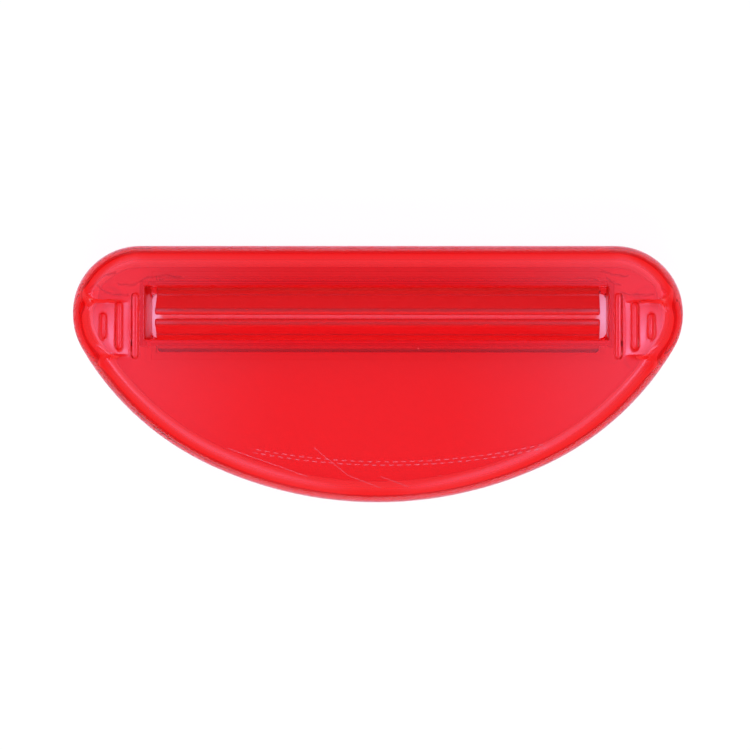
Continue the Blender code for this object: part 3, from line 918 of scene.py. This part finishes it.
def rib_feet(tree, place):
    """1 along the steep flanks of the grip ribs, where they meet the face and painted
    shade darkens the crease.

    The distance from a rib's axis, less that of its flank's middle, fades to 0.
    """
    x, y, _ = node(tree, "SeparateXYZ", place).node.outputs
    from_middle = node(tree, "Math", x, operation="ABSOLUTE")
    from_row = node(tree, "Math", y, SLOT_Y - RIB_ROW_BELOW_SLOT, operation="SUBTRACT")
    from_row = node(tree, "Math", from_row, operation="ABSOLUTE")
    flank_middle = RIB_HALF_WIDTH * (1 - RIB_FLANK / 2)
    feet = 0.0
    for number, length in enumerate(RIB_LENGTHS):
        axis = RIB_FIRST + number * RIB_PITCH
        from_axis = node(tree, "Math", from_middle, axis, operation="SUBTRACT")
        beyond = node(tree, "Math", from_row, length / 2 - RIB_HALF_WIDTH, operation="SUBTRACT")
        beyond = node(tree, "Math", beyond, 0.0, operation="MAXIMUM")
        plan = node(tree, "CombineXYZ", from_axis, beyond)
        away = node(tree, "VectorMath", plan, operation="LENGTH", out="Value")
        off = node(tree, "Math", away, flank_middle, operation="SUBTRACT")
        off = node(tree, "Math", off, operation="ABSOLUTE")
        foot = node(tree, "MapRange", off, *RIB_FOOT, **SMOOTH)
        feet = node(tree, "Math", foot, feet, operation="MAXIMUM")
    return feet


def shell_shade(tree, place):
    """Painted shade on the face: darker on weld lines and along the feet of the ribs."""
    painted_welds = node(tree, "Math", weld_lines(tree, place), WELD_SHADE, operation="MULTIPLY")
    feet = node(tree, "Math", rib_feet(tree, place), FOOT_SHADE, operation="MULTIPLY")
    shade = node(tree, "Math", feet, painted_welds, operation="MAXIMUM")
    facing = node(tree, "SeparateXYZ", node(tree, "TexCoord", out="Normal"), out="Z")
    upward = node(tree, "Math", facing, LEAST_UPWARD, operation="GREATER_THAN")
    height = node(tree, "SeparateXYZ", place, out="Z")
    high = node(tree, "Math", height, FACE_Z - EDGE_ROUND, operation="GREATER_THAN")
    shade = node(tree, "Math", shade, upward, operation="MULTIPLY")
    return node(tree, "Math", shade, high, operation="MULTIPLY")


def root_shade(tree, place):
    """Painted shade on the lips: darker on the outer side of the lower lip's thick root."""
    y = node(tree, "SeparateXYZ", place, out="Y")
    root = SLOT_Y - ROOT_Y
    return node(tree, "MapRange", y, root, root - ROOT_SHADE_REACH, 0.0, ROOT_SHADE, **SMOOTH)


def clear_plastic(name, tint, dye, density, roughness, clearness, gloss, shade, painted_shade_tint, worn):
    """Injection-moulded general-purpose polystyrene, dyed in the mass.

    It is clear and glossy, with the high index of polystyrene. The dye takes out
    green and blue over a few millimetres, so thin places look pink and thick ones
    deep red. Lamps shine through it in straight lines, so its shadow is coloured.
    Scuffs are rough, pale and a little shiny, and the skin has faint moulded waves.
    """
    material = bpy.data.materials.new(name)
    material.use_nodes = True
    tree = material.node_tree
    tree.nodes.clear()
    place = node(tree, "TexCoord", out="Object")
    # The base colour goes towards the second, darker tint by the shade mask: painted shade
    colour = node(tree, "Mix", data_type="RGBA", out="Result_Color", named={
        "Factor_Float": shade(tree, place), "A_Color": linear(tint), "B_Color": linear(painted_shade_tint),
    })
    finish = {
        "Base Color": colour, "Roughness": roughness, "IOR": POLYSTYRENE_IOR,
        "Transmission Weight": clearness, "Specular IOR Level": gloss,
    }
    if worn:
        marks, ends = wear(tree, place), window_ends(tree, place)
        scuffed = node(tree, "Mix", data_type="RGBA", out="Result_Color", named={
            "Factor_Float": marks, "A_Color": colour, "B_Color": linear(SCUFF_COLOUR),
        })
        rough = node(tree, "Math", ends, DRAWN_SHARE, operation="MULTIPLY")
        rough = node(tree, "Math", marks, rough, operation="MAXIMUM")
        rough = node(tree, "MapRange", rough, 0.0, 1.0, roughness, SCUFF_ROUGHNESS, **SMOOTH)
        glint = node(tree, "Math", marks, SCUFF_GLINT, operation="MULTIPLY")
        skin = node(tree, "Bump", named={
            "Height": flow(tree, place, ends), "Strength": 1.0, "Distance": MM,
        })
        finish |= {"Base Color": scuffed, "Roughness": rough, "Metallic": glint, "Normal": skin}
    surface = node(tree, "BsdfPrincipled", named=finish)
    clear = node(tree, "BsdfTransparent", linear(SHADOW_COLOUR))
    to_lamp = node(tree, "LightPath", out="Is Shadow Ray")
    mixed = node(tree, "MixShader", to_lamp, surface, clear)
    inside = node(tree, "VolumeAbsorption", named={"Color": linear(dye), "Density": density})
    node(tree, "OutputMaterial", named={"Surface": mixed, "Volume": inside})
    return material


def paper(name, backdrop):
    """Matt white paper.

    As a backdrop it looks near white to the camera, with a faint shadow, and partly
    so through the plastic, while to the lamps it stays plain paper.
    """
    material = bpy.data.materials.new(name)
    material.use_nodes = True
    tree = material.node_tree
    tree.nodes.clear()
    matt = node(tree, "BsdfDiffuse", linear(PAPER_WHITE))
    if backdrop:
        shaded = node(tree, "BsdfDiffuse", linear(BACKDROP_SHADED))
        white = node(tree, "Emission", WHITE, BACKDROP_GLOW)
        both = node(tree, "AddShader", shaded, white)
        rays = node(tree, "LightPath").node.outputs
        through = rays["Is Transmission Ray"]
        through = node(tree, "Math", through, BACKDROP_THROUGH, operation="MULTIPLY")
        seen = node(tree, "Math", rays["Is Camera Ray"], through, operation="MAXIMUM")
        matt = node(tree, "MixShader", seen, matt, both)
    node(tree, "OutputMaterial", matt)
    return material


# Stage

def sheet(name, corners, lift, material):
    """A flat sheet under the part, lift above the floor, with its corners in turn."""
    mesh = bpy.data.meshes.new(name)
    z = cad_box[0][2] - FLOOR_GAP + lift
    mesh.from_pydata([(x, y, z) for x, y in corners], [], [tuple(range(len(corners)))])
    mesh.materials.append(material)
    made = bpy.data.objects.new(name, mesh)
    bpy.context.scene.collection.objects.link(made)


def floor():
    """A wide level backdrop, and a matt card under the part, hidden by it."""
    corners = [(x * FLOOR_HALF, y * FLOOR_HALF) for x, y in ((1, 1), (-1, 1), (-1, -1), (1, -1))]
    sheet("floor", corners, 0.0, paper("backdrop_paper", True))
    points, normals = outline(np.linspace(0.0, 1.0, CARD_POINTS))
    right = points - normals * CARD_INSET
    left = right[::-1] * (-1, 1)
    rim = np.concatenate((right, left))[::-1].tolist()
    sheet("card", rim, FLOOR_GAP / 2, paper("matt_card", False))


def lamp(name, azimuth, tilt, size, power, colour):
    """A square softbox aimed at the part, from an azimuth and a tilt off the vertical."""
    data = bpy.data.lights.new(name, "AREA")
    data.shape = "RECTANGLE"
    data.size, data.size_y = size
    data.energy = power
    data.color = colour
    made = bpy.data.objects.new(name, data)
    a, t = math.radians(azimuth), math.radians(tilt)
    away = Vector((math.sin(t) * math.cos(a), math.sin(t) * math.sin(a), math.cos(t)))
    made.location = away * LAMP_DISTANCE
    made.rotation_euler = away.to_track_quat("Z", "Y").to_euler()
    bpy.context.scene.collection.objects.link(made)
    return made


def tent_level(tree, direction):
    """Radiance of the tent in a direction.

    It is the slit's and the sides' fades, dimmed towards the foot and the far ends,
    plus the glow along the horizon, the tube lights and the softboxes. Each is a
    smooth ramp of a distance in the direction's X, Y or Z.
    """
    x, y, z = node(tree, "SeparateXYZ", direction).node.outputs
    apart = node(tree, "Math", x, TENT_SLIT_MIDDLE, operation="SUBTRACT")
    apart = node(tree, "Math", apart, operation="ABSOLUTE")
    from_side = node(tree, "Math", y, operation="ABSOLUTE")
    slit = node(tree, "MapRange", apart, *TENT_SLIT, **SMOOTH)
    sides = node(tree, "MapRange", apart, *TENT_SIDES, **SMOOTH)
    foot = node(tree, "MapRange", z, *TENT_FOOT, **SMOOTH)
    far = node(tree, "MapRange", from_side, *TENT_FAR, **SMOOTH)
    level = node(tree, "Math", slit, sides, operation="ADD")
    level = node(tree, "Math", level, foot, operation="MULTIPLY")
    horizon = node(tree, "MapRange", z, *TENT_HORIZON, **SMOOTH)
    level = node(tree, "Math", level, horizon, operation="ADD")
    level = node(tree, "Math", level, far, operation="MULTIPLY")
    off = node(tree, "Math", apart, TUBE_LIGHT_APART, operation="SUBTRACT")
    off = node(tree, "Math", off, operation="ABSOLUTE")
    across = node(tree, "MapRange", off, *TUBE_LIGHT_ACROSS, **SMOOTH)
    ends = node(tree, "MapRange", from_side, *TUBE_LIGHT_ENDS, **SMOOTH)
    overhead = node(tree, "Math", z, TUBE_LIGHT_LOWEST, operation="GREATER_THAN")
    tubes = node(tree, "Math", across, ends, operation="MULTIPLY")
    tubes = node(tree, "Math", tubes, overhead, operation="MULTIPLY")
    level = node(tree, "Math", level, tubes, operation="ADD")
    for place, reach, strength in SOFTBOXES:
        shrink = (1 / reach[0], 1 / reach[1], 0.0)
        off = node(tree, "VectorMath", direction, place, operation="SUBTRACT")
        off = node(tree, "VectorMath", off, shrink, operation="MULTIPLY")
        off = node(tree, "VectorMath", off, operation="LENGTH", out="Value")
        glow = node(tree, "MapRange", off, 0.0, 1.0, strength, 0.0, **SMOOTH)
        level = node(tree, "Math", level, glow, operation="ADD")
    return level


def studio():
    """Even light from above on the floor, and a white tent that the plastic mirrors.

    The tent has a darker slit along Y overhead, where the camera looks in, and on
    each side a tube light along it, which the ribs' crowns mirror to the camera,
    and a bright softbox, which the sloping thumb pads mirror. Its colour warms
    towards the foot. Behind clear plastic the world is the white background.
    """
    for name, azimuth, tilt, size, power, colour in LAMPS:
        softbox = lamp(name, azimuth, tilt, size, power, colour)
        softbox.visible_glossy = softbox.visible_transmission = False
    world = bpy.data.worlds.new("studio")
    world.use_nodes = True
    tree = world.node_tree
    tree.nodes.clear()
    direction = node(tree, "TexCoord", out="Generated")
    height = node(tree, "SeparateXYZ", direction, out="Z")
    tint = node(tree, "Mix", data_type="RGBA", out="Result_Color", named={
        "Factor_Float": node(tree, "MapRange", height, *TENT_COLOUR_RISE, **SMOOTH),
        "A_Color": TENT_FOOT_COLOUR, "B_Color": TENT_COLOUR,
    })
    room = node(tree, "Background", WHITE, ROOM_LEVEL)
    tent = node(tree, "Background", tint, tent_level(tree, direction))
    behind = node(tree, "Background", WHITE, 1.0)
    rays = node(tree, "LightPath").node.outputs
    mirrored = node(tree, "MixShader", rays["Is Glossy Ray"], room, tent)
    seen, through = rays["Is Camera Ray"], rays["Is Transmission Ray"]
    clear = node(tree, "Math", seen, through, operation="MAXIMUM")
    node(tree, "OutputWorld", node(tree, "MixShader", clear, mirrored, behind))
    bpy.context.scene.world = world
    bpy.context.scene.view_settings.view_transform = "Standard"


def place_of(pixel):
    """Point on the face that a pixel of the photograph shows."""
    x = (pixel[0] - PHOTO_SLOT[0]) * MM_PER_PIXEL * MM
    y = SLOT_Y - (pixel[1] - PHOTO_SLOT[1]) * MM_PER_PIXEL * MM
    return Vector((x, y, FACE_Z))


def camera():
    """Above the plumb point, aimed at the place in the middle of the photograph.

    It looks with +Y upwards, apart from a slight roll, and its lens gives the
    photograph's scale on the face.
    """
    data = bpy.data.cameras.new("camera")
    made = bpy.data.objects.new("camera", data)
    aim = place_of(PHOTO_MIDDLE)
    made.location = place_of(PHOTO_FOOT) + Vector((0, 0, CAMERA_HEIGHT))
    look = made.location - aim
    right = Vector((0.0, 1.0, 0.0)).cross(look).normalized()
    up = look.normalized().cross(right)
    turn = Matrix((right, up, look.normalized())).transposed()
    made.rotation_euler = (turn @ Matrix.Rotation(CAMERA_ROLL, 3, "Z")).to_euler()
    data.sensor_width = SENSOR_WIDTH
    data.lens = data.sensor_width * look.length / (PHOTO_SIDE * MM_PER_PIXEL * MM)
    data.clip_start = NEAREST_SEEN
    bpy.context.scene.collection.objects.link(made)
    bpy.context.scene.camera = made


def main():
    """Puts the pieces on their bodies, then adds the floor, the light and the camera."""
    # Clear red face and cover, and the lips of the same plastic with more dye in it
    # Their second, darker tints are painted shade, on weld lines, rib feet and the lower lip's root
    shell_plastic = clear_plastic(
        "clear_red_polystyrene", tint="#ffffff", dye="#fe0208", density=770.0, roughness=0.02,
        clearness=1.0, gloss=0.5, shade=shell_shade, painted_shade_tint="#c04454", worn=True)
    lip_plastic = clear_plastic(
        "deep_red_polystyrene", tint="#fc4848", dye="#fc0208", density=2400.0, roughness=0.05,
        clearness=0.72, gloss=0.12, shade=root_shade, painted_shade_tint="#5a1418", worn=False)
    pieces = [
        (front_shell(shell_plastic), "front_shell", "housing", "clear_red"),
        (back_cover(shell_plastic), "back_cover", "housing", "clear_red"),
        (lip("upper_lip", 1, lip_plastic), "upper_lip", "upper_lip_body", "deep_red"),
        (lip("lower_lip", -1, lip_plastic), "lower_lip", "lower_lip_body", "deep_red"),
    ]
    for piece, cad_node, body, finish in pieces:
        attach(piece, body)
        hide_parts(cad_node)
    floor()
    studio()
    camera()
    cycles = bpy.context.scene.cycles
    cycles.max_bounces = LIGHT_BOUNCES
    cycles.glossy_bounces = LIGHT_BOUNCES
    cycles.transmission_bounces = LIGHT_BOUNCES
    cycles.transparent_max_bounces = LIGHT_BOUNCES


main()
